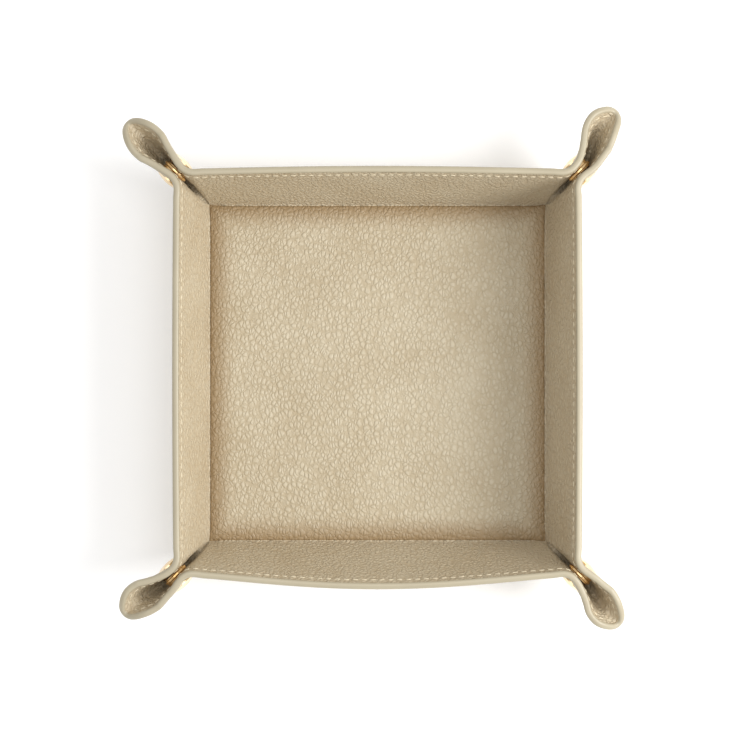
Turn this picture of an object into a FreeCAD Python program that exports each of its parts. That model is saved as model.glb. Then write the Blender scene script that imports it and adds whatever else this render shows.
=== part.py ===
import FreeCAD, Part
import math
import os
import Sketcher

from FreeCAD import Placement, Rotation, Vector

# Valet tray: one square of double leather, creased round its base and pinched
# into a spout at each corner by a snap.  +Z is up, the tray stands on z = 0
# with its middle at the origin, and the back wall is towards +Y.

SIZES = (
    ("base_side", 152.0, "base, crease to crease inside"),
    ("lean", 12.5, "degrees that a wall leans out from upright"),
    ("wall_slope", 46.0, "wall from crease to rim, along the leather"),
    ("corner_radius", 14.0, "rounding of the flat square's corners"),
    ("outer_thick", 1.5, "outer leather"),
    ("lining_thick", 1.5, "lining leather"),
    ("bow_back", 1.2, "how far the middle of the back rim bows out"),
    ("bow_left", 0.4, "the same on the left"),
    ("bow_front", 5.4, "the same at the front"),
    ("bow_right", 0.4, "the same on the right"),
    ("wall_board_thick", 0.6, "fibre board glued between the leathers of a wall"),
    ("wall_board_inset", 5.0, "wall board back from the crease and the necks"),
    ("wall_board_drop", 8.0, "wall board below the rim, clear of the stitching"),
    ("base_board_thick", 1.0, "fibre board in the base"),
    ("base_board_inset", 8.0, "base board and pad back from the crease"),
    ("base_board_rounding", 4.0, "corners of the base board and pad"),
    ("pad_thick", 1.2, "foam pad on the base board"),
    ("pad_rounding", 0.5, "top edge of the foam pad"),
    ("crown_margin", 1.0, "flat lining between the crease and the padded crown"),
    ("crown_width", 5.0, "width of the slope up to the crown"),
    ("crown_rounding", 2.5, "top edge of the padded crown"),
    ("spout_foot", 4.0, "where a spout's own leather starts, above the base lining"),
    ("spout_parting", 0.25, "each half of a spout back from the corner's middle plane"),
    ("snap_out", 17.8, "snap axis out from the inner base corner, along the diagonal"),
    ("snap_below_rim", 13.9097, "snap axis below the rim of the walls"),
    ("snap_half_gap", 2.0, "lining to the corner's middle plane at the snap"),
    ("snap_press", 0.45, "how deep the snap pieces press into each face"),
    ("snap_room", 0.2, "play round a snap piece in the pressed leather"),
    ("cap_radius", 6.25, "domed snap caps"),
    ("cap_edge", 0.7, "cap at its edge"),
    ("cap_height", 2.0, "cap at its middle"),
    ("barrel_radius", 1.9, "barrel of a cap, through the leather"),
    ("barrel_bore", 1.2, "bore of that barrel"),
    ("barrel_room", 0.15, "play round a barrel"),
    ("lip_radius", 2.3, "rolled end of a barrel"),
    ("lip_thick", 0.4, "the same, along the barrel"),
    ("lip_room", 0.05, "rolled end to the plate that it holds"),
    ("socket_plate", 0.8, "socket plate on the lining"),
    ("socket_wall", 0.9, "round wall of the socket"),
    ("socket_reach", 1.2, "socket past the corner's middle plane"),
    ("socket_brim", 0.5, "inturned brim of the socket"),
    ("mouth_radius", 3.7, "mouth inside that brim"),
    ("spring_wire", 0.4, "radius of the ring spring's wire"),
    ("spring_ring", 3.75, "ring spring, at the middle of its wire"),
    ("spring_play", 0.95, "room round the ring spring, for it to open"),
    ("stud_flange_radius", 5.6, "stud flange on the lining"),
    ("stud_flange", 0.8, "thickness of that flange"),
    ("stud_neck", 2.95, "stud under its head"),
    ("stud_head", 3.5, "head of the stud"),
    ("stud_head_height", 0.7, "the same, along the axis"),
    ("stud_reach", 1.0, "stud past the corner's middle plane"),
    ("stud_wall", 0.5, "wall of the hollow stud"),
    ("overrun", 6.0, "how far cutting shapes run past what they cut"),
)
WORKED_OUT = (
    ("snap_rise", "=wall_slope * cos(lean) - snap_below_rim", "snap axis above the base lining"),
    ("socket_radius", "=spring_ring + spring_wire + spring_play + socket_wall", "socket, outside"),
)

CORNERS = ("back_right", "back_left", "front_left", "front_right")
WALLS = ("back", "left", "front", "right")

doc = FreeCAD.newDocument("valet_tray")
sheet = doc.addObject("Spreadsheet::Sheet", "sizes")
for row, (alias, value, meaning) in enumerate(SIZES + WORKED_OUT, start=1):
    sheet.set(f"A{row}", meaning)
    sheet.set(f"B{row}", str(value))
    sheet.setAlias(f"B{row}", alias)
doc.recompute()

nodes = []


def size(alias):
    return float(sheet.get(alias))


def turned(quarter):
    """Placement of a piece that the back wall or the back right corner repeats."""
    return Placement(Vector(), Rotation(Vector(0, 0, 1), 90 * quarter))


def code_piece(label, shape, quarter):
    piece = doc.addObject("Part::Feature", label)
    piece.Label = label
    piece.Shape = shape
    piece.Placement = turned(quarter)
    nodes.append(piece)


def new_body(label):
    body = doc.addObject("PartDesign::Body", label)
    body.Label = label
    nodes.append(body)
    return body


def new_sketch(body, name, role):
    sketch = body.newObject("Sketcher::SketchObject", f"{body.Name}_{name}")
    plane = next(item for item in body.Origin.OriginFeatures if item.Role == role)
    sketch.AttachmentSupport = (plane, [""])
    sketch.MapMode = "FlatFace"
    return sketch


def square_sketch(body, name, side, rise):
    """Square about the Z axis, its side and height given as expressions."""
    sketch = new_sketch(body, name, "XY_Plane")
    sketch.setExpression("AttachmentOffset.Base.z", rise)
    half = sketch.evalExpression(side) / 2
    spots = [Vector(-half, -half, 0), Vector(half, -half, 0), Vector(half, half, 0), Vector(-half, half, 0)]
    for index, spot in enumerate(spots):
        sketch.addGeometry(Part.LineSegment(spot, spots[(index + 1) % 4]), False)
    for index in range(4):
        sketch.addConstraint(Sketcher.Constraint("Coincident", index, 2, (index + 1) % 4, 1))
    for index, kind in enumerate(("Horizontal", "Vertical", "Horizontal", "Vertical")):
        sketch.addConstraint(Sketcher.Constraint(kind, index))
    sketch.addConstraint(Sketcher.Constraint("Symmetric", 0, 1, 2, 1, -1, 1))
    sketch.addConstraint(Sketcher.Constraint("Equal", 0, 1))
    length = sketch.addConstraint(Sketcher.Constraint("Distance", 0, 2 * half))
    sketch.setExpression(f"Constraints[{length}]", side)
    return sketch


def pad(body, sketch, name, height, taper=None):
    feature = body.newObject("PartDesign::Pad", f"{body.Name}_{name}")
    feature.Profile = sketch
    feature.setExpression("Length", height)
    if taper:
        feature.setExpression("TaperAngle", taper)
    doc.recompute()
    return feature


def fillet(body, base, name, radius, chosen):
    """Round the edges of the last feature for which chosen(edge) holds."""
    feature = body.newObject("PartDesign::Fillet", f"{body.Name}_{name}")
    edges = [f"Edge{index}" for index, edge in enumerate(base.Shape.Edges, start=1) if chosen(edge)]
    feature.Base = (base, edges)
    feature.setExpression("Radius", radius)
    doc.recompute()
    return feature


def level_at(height):
    """Test for edges that lie flat at one height."""
    def test(edge):
        box = edge.BoundBox
        return math.isclose(box.ZMin, height, abs_tol=1e-6) and math.isclose(box.ZMax, height, abs_tol=1e-6)
    return test


def upright(edge):
    box = edge.BoundBox
    return math.isclose(box.XLength + box.YLength, 0, abs_tol=1e-6)


# Base: outer leather, board, pad and the lining that crowns over them.  The four
# creases are mitred, so the leather of base and wall meets at half the fold angle.

CREASE_TAPER = "-(90 - sizes.lean) / 2"
MITRE = "tan((90 - sizes.lean) / 2 * 1 deg)"
CORE_SIDE = "sizes.base_side - 2 * sizes.base_board_inset"


def make_base():
    outer = new_body("base_outer")
    bottom = f"sizes.base_side + 2 * (sizes.outer_thick + sizes.lining_thick) * {MITRE}"
    pad(outer, square_sketch(outer, "underside", bottom, "0"), "sheet", "sizes.outer_thick", CREASE_TAPER)

    board = new_body("base_board")
    slab = pad(board, square_sketch(board, "outline", CORE_SIDE, "sizes.outer_thick"), "slab",
               "sizes.base_board_thick")
    fillet(board, slab, "corners", "sizes.base_board_rounding", upright)

    foam = new_body("base_pad")
    foam_floor = "sizes.outer_thick + sizes.base_board_thick"
    slab = pad(foam, square_sketch(foam, "outline", CORE_SIDE, foam_floor), "slab", "sizes.pad_thick")
    slab = fillet(foam, slab, "corners", "sizes.base_board_rounding", upright)
    foam_top = size("outer_thick") + size("base_board_thick") + size("pad_thick")
    fillet(foam, slab, "top_edge", "sizes.pad_rounding", level_at(foam_top))

    lining = new_body("base_lining")
    seam = f"sizes.base_side + 2 * sizes.lining_thick * {MITRE}"
    pad(lining, square_sketch(lining, "seam", seam, "sizes.outer_thick"), "sheet",
        "sizes.lining_thick", CREASE_TAPER)
    rise = "(sizes.base_board_thick + sizes.pad_thick)"
    foot = "sizes.base_side - 2 * sizes.crown_margin"
    crown = pad(lining, square_sketch(lining, "crown_foot", foot, "sizes.outer_thick + sizes.lining_thick"),
                "crown", rise, f"-atan(sizes.crown_width / {rise})")
    top = size("outer_thick") + size("lining_thick") + size("base_board_thick") + size("pad_thick")
    fillet(lining, crown, "crown_edge", "sizes.crown_rounding", level_at(top))
    room = lining.newObject("PartDesign::Pocket", "base_lining_core_room")
    room.Profile = square_sketch(lining, "core", CORE_SIDE, "sizes.outer_thick")
    room.setExpression("Length", rise)
    room.Reversed = True
    doc.recompute()


# Folded leather.  A corner's own axes start at its inner base corner: u runs out
# along the diagonal, n away from the corner's middle plane and rise upwards.  The
# lining of a wall leans by lean; the lining of a spout's half stands at
# n = spread * rise; the two meet along the neck, and the half ends at the spine.

ROOT_HALF = math.sqrt(0.5)
lean = math.radians(size("lean"))
slant = math.tan(lean)
thick = size("outer_thick") + size("lining_thick")
half_base = size("base_side") / 2
spread = size("snap_half_gap") / size("snap_rise")

neck_ray = Vector(slant / ROOT_HALF - spread, spread, 1)
neck_slope = math.atan((slant - spread / ROOT_HALF) * math.cos(lean))
along_neck = Vector(neck_ray).normalize()
off_neck = (Vector(1, 0, 0) - along_neck * along_neck.x).normalize()


def in_side(angle):
    """Direction in the lining of a spout's half, turned outwards from its neck."""
    return along_neck * math.cos(angle) + off_neck * math.sin(angle)


spine_ray = in_side(math.pi / 4 - neck_slope)
spine_slope = spine_ray.x / spine_ray.z
rim_up = in_side(-neck_slope)
rim_out = in_side(math.pi / 2 - neck_slope)
rim_rise = size("wall_slope") * math.cos(lean)
top_rise = rim_rise + size("overrun")

wall_normal = Vector(0, math.cos(lean), -math.sin(lean))
side_normal = Vector(-ROOT_HALF, ROOT_HALF, -spread).normalize()
mitre_shift = (wall_normal + side_normal) / (1 + wall_normal * side_normal)
neck_line = Vector(slant - spread / ROOT_HALF, slant, 1)


def neck_spot(offset, normal, distance):
    """Point of the neck mitre at one depth in the leather, on the plane normal . p = distance."""
    start = mitre_shift * offset
    return start + neck_line * ((distance - normal * start) / (normal * neck_line))


def wall_corners(offset):
    """Corners of the back wall at one depth in the leather: bottom left, right, rim right, left."""
    crease_normal = Vector(0, math.cos(math.pi / 4 + lean / 2), math.sin(math.pi / 4 + lean / 2))
    slope = Vector(0, math.sin(lean), math.cos(lean))
    foot = neck_spot(offset, crease_normal, 0)
    rim = neck_spot(offset, slope, size("wall_slope"))
    right_foot = foot + Vector(half_base, half_base, thick)
    right_rim = rim + Vector(half_base, half_base, thick)
    left_foot = Vector(-right_foot.x, right_foot.y, right_foot.z)
    left_rim = Vector(-right_rim.x, right_rim.y, right_rim.z)
    return left_foot, right_foot, right_rim, left_rim


def wall_edges(offset, bow):
    """Straight foot, straight ends and bowed rim of one face of the back wall."""
    left_foot, right_foot, right_rim, left_rim = wall_corners(offset)
    middle = (left_rim + right_rim) / 2 + Vector(0, bow, 0)
    foot = Part.makeLine(left_foot, right_foot)
    rim = Part.Arc(left_rim, middle, right_rim).toShape()
    return foot, Part.makeLine(left_foot, left_rim), Part.makeLine(right_foot, right_rim), rim


def wall_sheet(near, far, bow):
    """One layer of the back wall between two depths in the leather."""
    foot, left, right, rim = wall_edges(near, bow)
    far_foot, far_left, far_right, far_rim = wall_edges(far, bow)
    pairs = ((foot, rim), (far_foot, far_rim), (foot, far_foot), (rim, far_rim), (left, far_left), (right, far_right))
    shell = Part.makeShell([Part.makeRuledSurface(one, other) for one, other in pairs])
    shell.sewShape()
    solid = Part.makeSolid(shell)
    if solid.Volume < 0:
        solid.reverse()
    return solid


def wall_board_room():
    """Upright prism that frames the board of the back wall."""
    left_foot, right_foot, right_rim, left_rim = wall_corners(size("lining_thick"))
    inset = size("wall_board_inset")
    low = left_foot.z + inset
    high = left_rim.z - size("wall_board_drop")
    near = half_base - size("overrun")
    side = right_foot.x - inset
    deep = size("overrun") + rim_rise
    return Part.makeBox(2 * side, deep, high - low, Vector(-side, near, low))


def make_walls():
    lining_depth = size("lining_thick")
    board_depth = lining_depth + size("wall_board_thick")
    for quarter, wall in enumerate(WALLS):
        bow = size(f"bow_{wall}")
        board = wall_sheet(lining_depth, board_depth, bow).common(wall_board_room())
        code_piece(f"wall_lining_{wall}", wall_sheet(0, lining_depth, bow), quarter)
        code_piece(f"wall_board_{wall}", board.Solids[0], quarter)
        code_piece(f"wall_outer_{wall}", wall_sheet(lining_depth, thick, bow).cut(board).Solids[0], quarter)


def corner_point(out, across, rise, hand):
    """A corner's own axes to the tray's, on the side that hand gives: 1 or -1."""
    x = half_base + (out - hand * across) * ROOT_HALF
    y = half_base + (out + hand * across) * ROOT_HALF
    return Vector(x, y, thick + rise)


def spout_section(near, far, rise, hand):
    """Level section of one layer of a spout's half: side, rounded fold and half of the floor."""
    def neck(offset):
        spot = neck_spot(offset, Vector(0, 0, 1), rise)
        return (spot.x + spot.y) * ROOT_HALF, (spot.y - spot.x) * ROOT_HALF

    def floor(offset):
        return spine_slope * rise + offset * math.hypot(1, spine_slope)

    def side(offset):
        return spread * rise + offset * math.hypot(1, spread)

    def fold(offset):
        """The rounded fold at one depth, about the sharp fold of the lining."""
        if offset == 0:
            return [(floor(0), side(0))]
        out = floor(offset) - floor(0)
        across = side(offset) - side(0)
        return [(floor(0), side(offset)),
                (floor(0) + out * ROOT_HALF, side(0) + across * ROOT_HALF),
                (floor(offset), side(0))]

    parting = size("spout_parting")
    runs = ([neck(near)], fold(near), [(floor(near), parting)], [(floor(far), parting)],
            fold(far)[::-1], [neck(far)])
    edges = []
    last = corner_point(*neck(far), rise, hand)
    for run in runs:
        spots = [corner_point(out, across, rise, hand) for out, across in run]
        edges.append(Part.makeLine(last, spots[0]))
        if len(spots) == 3:
            edges.append(Part.Arc(*spots).toShape())
        last = spots[-1]
    return Part.Wire(edges)


def spout_outline(hand):
    """Prism of the spout's side view: the rim, the rounded corner and the end of the spine."""
    wall_slope = size("wall_slope")
    radius = size("corner_radius")
    overrun = size("overrun")
    centre = spine_ray * ((wall_slope - radius) / ROOT_HALF)
    rim_end = centre + rim_up * radius
    middle = centre + (rim_up + spine_ray).normalize() * radius
    tip = centre + spine_ray * radius
    down = in_side(math.pi * 3 / 4 - neck_slope)
    tip_foot = tip + down * (thick + overrun)
    rim_back = rim_end - rim_out * (rim_rise + overrun)

    def spot(side_view):
        return corner_point(side_view.x, -overrun, side_view.z, hand)

    low_back = Vector(rim_back.x, 0, -overrun)
    low_front = Vector(tip_foot.x, 0, -overrun)
    edges = [Part.makeLine(spot(rim_back), spot(rim_end)),
             Part.Arc(spot(rim_end), spot(middle), spot(tip)).toShape(),
             Part.makeLine(spot(tip), spot(tip_foot)),
             Part.makeLine(spot(tip_foot), spot(low_front)),
             Part.makeLine(spot(low_front), spot(low_back)),
             Part.makeLine(spot(low_back), spot(rim_back))]
    face = Part.Face(Part.Wire(edges))
    width = 2 * overrun + thick + spread * top_rise
    return face.extrude(corner_point(0, width, 0, hand) - corner_point(0, 0, 0, hand))


def snap_frame(hand):
    """Middle of a corner's snap, and the direction from there to the half's outer face."""
    middle = corner_point(size("snap_out"), 0, size("snap_rise"), hand)
    outwards = (corner_point(0, 1, 0, hand) - corner_point(0, 0, 0, hand)).normalize()
    return middle, outwards


def seat_in():
    """Snap plates press into the lining, this far from the middle plane."""
    return size("snap_half_gap") + size("snap_press")


def seat_out():
    """Snap caps press into the outer leather, this far from the middle plane."""
    return size("snap_half_gap") + thick * math.hypot(1, spread) - size("snap_press")


def snap_room(hand, plate_radius):
    """What the snap presses away or punches out of one half of a spout."""
    middle, outwards = snap_frame(hand)
    overrun = size("overrun")
    room = size("snap_room")
    plate = Part.makeCylinder(plate_radius + room, overrun, middle + outwards * seat_in(), outwards * -1)
    cap = Part.makeCylinder(size("cap_radius") + room, overrun, middle + outwards * seat_out(), outwards)
    punch = size("barrel_radius") + size("barrel_room")
    hole = Part.makeCylinder(punch, seat_out(), middle, outwards)
    return plate.fuse([cap, hole])


def make_spouts():
    layers = (("spout_lining", 0, size("lining_thick")), ("spout_outer", size("lining_thick"), thick))
    hands = ((1, "socket_radius"), (-1, "stud_flange_radius"))
    for hand, plate in hands:
        outline = spout_outline(hand)
        room = snap_room(hand, size(plate))
        for layer, near, far in layers:
            wires = [spout_section(near, far, rise, hand) for rise in (size("spout_foot"), top_rise)]
            sheet_shape = Part.makeLoft(wires, True, True).common(outline).cut(room).Solids[0]
            for quarter in range(4):
                own = WALLS[quarter] if hand > 0 else WALLS[quarter - 1]
                other = WALLS[quarter - 1] if hand > 0 else WALLS[quarter]
                code_piece(f"{layer}_{own}_at_{other}", sheet_shape, quarter)


# Snaps.  Each piece is turned about the snap's axis: X in a section is the
# radius, Y the distance along the axis from the deepest point of the set.

DEPTH = "sizes.socket_reach"
SEAT_IN = f"({DEPTH} + sizes.snap_half_gap + sizes.snap_press)"
GRIP = ("((sizes.outer_thick + sizes.lining_thick)"
        " * sqrt(1 + (sizes.snap_half_gap / sizes.snap_rise) ^ 2) - 2 * sizes.snap_press)")
SEAT_OUT = f"({SEAT_IN} + {GRIP})"
SOCKET_FLOOR = f"({SEAT_IN} - sizes.socket_plate)"
STUD_FLOOR = f"({SEAT_IN} - sizes.stud_flange)"
STUD_TIP = f"({DEPTH} - sizes.stud_reach)"
PUNCH = "(sizes.barrel_radius + sizes.barrel_room)"


def turned_piece(label, points, quarter, hand, dome=False):
    """Body turned from a closed section; with dome the first side is an arc about the axis."""
    body = new_body(label)
    sketch = new_sketch(body, "section", "XZ_Plane")
    spots = [Vector(sketch.evalExpression(x), sketch.evalExpression(y), 0) for x, y in points]
    count = len(spots)
    first = 1 if dome else 0
    for index in range(first, count):
        sketch.addGeometry(Part.LineSegment(spots[index], spots[(index + 1) % count]), False)
    lines = count - first
    if dome:
        top, edge = spots[0], spots[1]
        drop = top.y - edge.y
        radius = (edge.x ** 2 + drop ** 2) / (2 * drop)
        circle = Part.Circle(Vector(0, top.y - radius, 0), Vector(0, 0, 1), radius)
        start = math.atan2(edge.y - top.y + radius, edge.x)
        sketch.addGeometry(Part.ArcOfCircle(circle, start, math.pi / 2), False)
        sketch.addConstraint(Sketcher.Constraint("Coincident", lines, 1, 0, 1))
        sketch.addConstraint(Sketcher.Constraint("Coincident", lines, 2, lines - 1, 2))
        sketch.addConstraint(Sketcher.Constraint("PointOnObject", lines, 3, -2))
        sketch.addConstraint(Sketcher.Constraint("PointOnObject", lines, 2, -2))
        top_gap = sketch.addConstraint(Sketcher.Constraint("DistanceY", -1, 1, lines, 2, top.y))
        sketch.setExpression(f"Constraints[{top_gap}]", points[0][1])
    for index in range(lines):
        if index + 1 < lines or not dome:
            sketch.addConstraint(Sketcher.Constraint("Coincident", index, 2, (index + 1) % lines, 1))
        x, y = points[index + first]
        spot = spots[index + first]
        if spot.x:
            gap = sketch.addConstraint(Sketcher.Constraint("DistanceX", -1, 1, index, 1, spot.x))
            sketch.setExpression(f"Constraints[{gap}]", x)
        else:
            sketch.addConstraint(Sketcher.Constraint("PointOnObject", index, 1, -2))
        if spot.y:
            gap = sketch.addConstraint(Sketcher.Constraint("DistanceY", -1, 1, index, 1, spot.y))
            sketch.setExpression(f"Constraints[{gap}]", y)
        else:
            sketch.addConstraint(Sketcher.Constraint("PointOnObject", index, 1, -1))
    turn = body.newObject("PartDesign::Revolution", f"{body.Name}_turn")
    turn.Profile = sketch
    turn.ReferenceAxis = (sketch, ["V_Axis"])
    turn.Angle = 360
    middle, outwards = snap_frame(hand)
    start = middle - outwards * size("socket_reach")
    body.Placement = turned(quarter) * Placement(start, Rotation(Vector(0, 0, 1), outwards))


def cap_section(plate_floor):
    """Domed cap, its barrel through the leather and the lip rolled over the plate inside."""
    lip = f"({plate_floor} - sizes.lip_room)"
    end = f"({lip} - sizes.lip_thick)"
    return [("0", f"{SEAT_OUT} + sizes.cap_height"), ("sizes.cap_radius", f"{SEAT_OUT} + sizes.cap_edge"),
            ("sizes.cap_radius", SEAT_OUT), ("sizes.barrel_radius", SEAT_OUT), ("sizes.barrel_radius", lip),
            ("sizes.lip_radius", lip), ("sizes.lip_radius", end), ("sizes.barrel_bore", end),
            ("sizes.barrel_bore", SEAT_OUT), ("0", SEAT_OUT)]


def socket_section():
    wall = "sizes.socket_radius - sizes.socket_wall"
    return [(PUNCH, SEAT_IN), ("sizes.socket_radius", SEAT_IN), ("sizes.socket_radius", "0"),
            ("sizes.mouth_radius", "0"), ("sizes.mouth_radius", "sizes.socket_brim"),
            (wall, "sizes.socket_brim"), (wall, SOCKET_FLOOR), (PUNCH, SOCKET_FLOOR)]


def stud_section():
    head = f"({STUD_TIP} + sizes.stud_head_height)"
    hollow = "sizes.stud_neck - sizes.stud_wall"
    return [(PUNCH, SEAT_IN), ("sizes.stud_flange_radius", SEAT_IN), ("sizes.stud_flange_radius", STUD_FLOOR),
            ("sizes.stud_neck", STUD_FLOOR), ("sizes.stud_neck", head),
            ("sizes.stud_head", f"({STUD_TIP} + sizes.stud_head_height / 2)"), ("sizes.stud_neck", STUD_TIP),
            (hollow, STUD_TIP), (hollow, STUD_FLOOR), (PUNCH, STUD_FLOOR)]


def make_snaps():
    for quarter, corner in enumerate(CORNERS):
        turned_piece(f"snap_cap_{corner}", cap_section(SOCKET_FLOOR), quarter, 1, dome=True)
        turned_piece(f"snap_socket_{corner}", socket_section(), quarter, 1)
        turned_piece(f"snap_stud_{corner}", stud_section(), quarter, -1)
        turned_piece(f"snap_post_{corner}", cap_section(STUD_FLOOR), quarter, -1, dome=True)
        spring = doc.addObject("Part::Torus", f"snap_spring_{corner}")
        spring.Label = f"snap_spring_{corner}"
        spring.setExpression("Radius1", "sizes.spring_ring")
        spring.setExpression("Radius2", "sizes.spring_wire")
        middle, outwards = snap_frame(1)
        rest = size("socket_brim") + size("spring_wire") - size("socket_reach")
        spring.Placement = turned(quarter) * Placement(middle + outwards * rest, Rotation(Vector(0, 0, 1), outwards))
        nodes.append(spring)


make_base()
make_walls()
make_spouts()
make_snaps()
doc.recompute()

for item in doc.Objects:
    if "Invalid" in item.State or "Error" in item.State:
        raise RuntimeError(f"{item.Label} did not build: {item.State}")
for node in nodes:
    if node.Shape.isNull() or not node.Shape.isValid() or node.Shape.Volume <= 0:
        raise RuntimeError(f"{node.Label} has no sound shape")

os.makedirs("parts", exist_ok=True)
for node in nodes:
    node.Shape.exportStep(f"parts/{node.Label}.step")
    print(f"{node.Label}: {node.Shape.Volume:.1f} mm3, {len(node.Shape.Solids)} solid")
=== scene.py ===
# %% [markdown]
# # A leather valet tray
#
# The tray is one square of two leathers, folded up at four creases and pinched at the corners by snaps.
# This lesson dresses the solid model of it. The caps, posts, springs, boards and foam stay as they are.
# Every leather solid is replaced by a sheet that bends the way leather bends, because solids with flat
# sides never show the soft S of a pinched rim.

# %% The frame
import math

import bmesh
import bpy
from mathutils import Matrix, Vector


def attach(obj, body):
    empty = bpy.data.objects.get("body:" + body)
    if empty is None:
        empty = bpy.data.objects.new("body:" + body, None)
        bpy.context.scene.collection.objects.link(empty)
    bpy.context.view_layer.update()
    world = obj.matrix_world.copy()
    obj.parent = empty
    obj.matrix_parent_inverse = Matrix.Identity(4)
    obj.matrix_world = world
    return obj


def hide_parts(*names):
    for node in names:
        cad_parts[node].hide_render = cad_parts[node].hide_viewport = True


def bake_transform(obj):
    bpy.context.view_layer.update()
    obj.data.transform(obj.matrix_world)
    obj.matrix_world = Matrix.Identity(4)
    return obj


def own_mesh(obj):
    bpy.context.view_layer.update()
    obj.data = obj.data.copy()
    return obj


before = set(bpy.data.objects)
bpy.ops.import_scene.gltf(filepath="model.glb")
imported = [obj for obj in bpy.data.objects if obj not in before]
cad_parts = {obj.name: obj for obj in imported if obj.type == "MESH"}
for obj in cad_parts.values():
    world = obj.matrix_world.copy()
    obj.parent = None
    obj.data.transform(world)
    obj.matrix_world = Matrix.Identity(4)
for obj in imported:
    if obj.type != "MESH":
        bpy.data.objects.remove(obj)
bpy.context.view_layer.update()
print("pieces in the frame:", len(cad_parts))

# %% [markdown]
# ## The tray's own sizes
#
# All lengths are in metres and agree with the solid model. Only the sizes of the whole tray are here: a
# size that serves one piece is given where that piece is made. Walls and corners are counted anticlockwise,
# seen from above. A corner lies between the wall of its own number and the wall before it.

# %% Sizes of the whole tray
WALLS = ("back", "left", "front", "right")
CORNERS = ("back_right", "back_left", "front_left", "front_right")
HALF = 0.076  # from the middle of the base to a crease
LEAN = math.radians(12.5)  # of the walls, outwards
SLOPE = 0.046  # from the crease to the rim
ROUND = 0.014  # radius of the square's corners
THICK = 0.003  # the two leathers together
SNAP_OUT = 0.0178  # snap axis, from the base corner along the diagonal
SNAP_RISE = 0.031  # snap axis, above the base lining
SNAP_GAP = 0.002  # half the gap between the linings at the snap
DIAGONAL = math.radians(45.0)
print("flat square:", round(2.0 * (HALF + SLOPE), 4), "wide")

# %% [markdown]
# ## The pattern
#
# A pinched corner could be sculpted, or draped by a simulation. But it is a folded sheet, and a flat
# pattern is the honest way to make one: the leather keeps its length and each run gives the same fold. A
# point of the pattern has x along the wall, measured from the base corner, and y up the wall. Along a wall
# the rim is straight, and round the corner it is an arc. Each ray from the base corner ends on one of the
# two.

# %% The rim of the pattern
def ease(value):
    """Rise smoothly from 0 to 1."""
    value = min(1.0, max(0.0, value))
    return value * value * (3.0 - 2.0 * value)


def ramp(value, start, over):
    """Rise smoothly from 0 at the start to 1, that far beyond it."""
    return ease((value - start) / over)


def rim_radius(angle):
    """The length of the ray at this angle from the wall's upright."""
    centre = SLOPE - ROUND
    if SLOPE * math.tan(angle) < centre:
        return SLOPE / math.cos(angle)
    both = math.sin(angle) + math.cos(angle)
    return centre * both + math.sqrt((centre * both) ** 2 - 2.0 * centre ** 2 + ROUND ** 2)


print("longest ray of the pattern:", round(rim_radius(DIAGONAL), 4))

# %% [markdown]
# A grid lies over each half wall and its side of the spout. It is cut in two past the neck: the first piece
# holds the wall and the neck, and the second the rest of the spout. The foot of the wall rises away from
# the corner, because a separate strip carries the crease there. In the second piece the rays crowd towards
# the fold, where the leather curves most.

# %% Grids over the pattern
FOOT = 0.006  # the wall's sheet begins this far above the crease
FOOT_LEAST = 0.0001  # and nearly on it at the base corner
FOOT_TAPER = 0.014
WALL_SHARE = 0.6  # share of the first grid that lies on the wall
TIP_ANGLE = math.radians(24.0)  # the ray where the second grid begins


def foot(x):
    return FOOT_LEAST + (FOOT - FOOT_LEAST) * ease(-x / FOOT_TAPER)


def on_ray(angle, t):
    radius = FOOT_LEAST + (rim_radius(angle) - FOOT_LEAST) * t
    return radius * math.sin(angle), radius * math.cos(angle)


def side_pattern(s, t):
    """The wall from its middle to the base corner, then the rays up to the cut."""
    if s < WALL_SHARE:
        x = -HALF * (1.0 - s / WALL_SHARE)
        return x, foot(x) + (SLOPE - foot(x)) * t
    return on_ray(TIP_ANGLE * (s - WALL_SHARE) / (1.0 - WALL_SHARE), t)


def tip_pattern(s, t):
    """The rays from the cut to the fold."""
    return on_ray(DIAGONAL - (DIAGONAL - TIP_ANGLE) * (1.0 - s) ** 2, t)


print("the cut meets the rim at", [round(part, 4) for part in side_pattern(1.0, 1.0)])

# %% [markdown]
# ## How the corner folds
#
# Past the neck, a ray from the base corner, the pattern turns about that ray and becomes one side of the
# spout. The two sides of a spout part slowly upwards, to leave room for the snap, and that fixes the neck's
# direction. The back right corner is the model for all four.

# %% The corner's directions
ROOT = Vector((HALF, HALF, THICK))
FLAT = math.tan(LEAN)
SPREAD = SNAP_GAP / SNAP_RISE
NECK = Vector((FLAT - math.sqrt(2.0) * SPREAD, FLAT, 1.0)).normalized()
NECK_ANGLE = math.atan((FLAT - math.sqrt(2.0) * SPREAD) * math.cos(LEAN))
WALL_OUT = Vector((0.0, math.cos(LEAN), -math.sin(LEAN)))
SIDE_OUT = Vector((-math.sqrt(0.5), math.sqrt(0.5), -SPREAD)).normalized()
DIHEDRAL = WALL_OUT.angle(SIDE_OUT)
print("neck leans", round(math.degrees(NECK_ANGLE), 2), "turns", round(math.degrees(DIHEDRAL), 2))

# %% [markdown]
# The crease is a soft bend, made by rounding the section of base and wall, and it sharpens at the base
# corners. A wall also bows out: most at the rim, in the middle of its length. A formula for each is enough,
# and both the wall and the strip along the crease can use it, so that they meet.

# %% The crease and the bow
SOFTNESS = 0.0012  # rounding of the crease
CREASE_TAPER = 0.008  # it sharpens over this length at a base corner
BOW = {"back": 0.0012, "left": 0.0004, "front": 0.0054, "right": 0.0004}
BOW_PAST = 0.008  # the bow ends this far past the base corner
BOW_POWER = 1.5  # more makes it narrower


def crease(y, to_corner):
    """How far out and how far up the leather is, y along it from the crease."""
    up = 0.5 * (y + math.hypot(y, SOFTNESS * ease(to_corner / CREASE_TAPER)))
    return (y - up) + up * math.sin(LEAN), up * math.cos(LEAN)


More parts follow.
